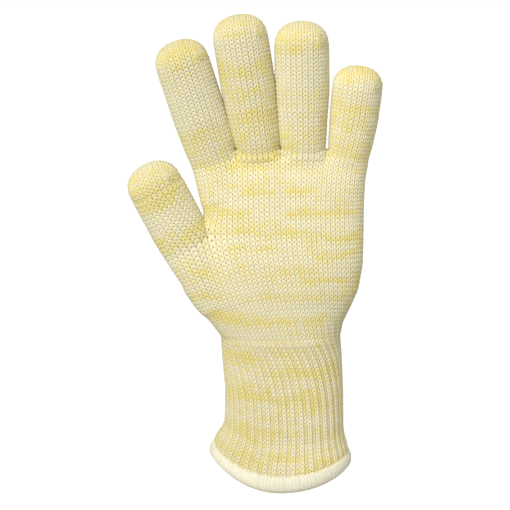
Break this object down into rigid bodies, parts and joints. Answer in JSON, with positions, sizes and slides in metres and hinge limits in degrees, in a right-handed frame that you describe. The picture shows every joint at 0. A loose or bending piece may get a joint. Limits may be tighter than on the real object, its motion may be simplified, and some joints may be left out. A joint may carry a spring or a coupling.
{
  "type": "heat-resistant knitted glove",
  "caption": "Seamless knitted heat-resistant aramid work glove with separate finger stalls, a long ribbed wrist and an overedged hem, standing filled as on a hand.",
  "frame": {"origin": "middle of the wrist opening, level with the lowest edge of the hem", "axes": "+Z from the wrist opening towards the fingertips, +X towards the little finger, -Y towards the palm's side, so the thumb points to -X"},
  "size_m": [0.1506, 0.069, 0.2846],
  "materials": {
    "aramid_knit": "thick plain-knitted aramid yarn, cream with yellow streaks",
    "rib_knit": "the same yarn in a one by one rib",
    "hem_thread": "off-white overedge thread"
  },
  "bodies": {
    "root": {"index_finger": "aramid_knit", "middle_finger": "aramid_knit", "ring_finger": "aramid_knit", "little_finger": "aramid_knit", "thumb": "aramid_knit", "palm": "aramid_knit", "rib_cuff": "rib_knit", "hem": "hem_thread"}
  },
  "joints": []
}
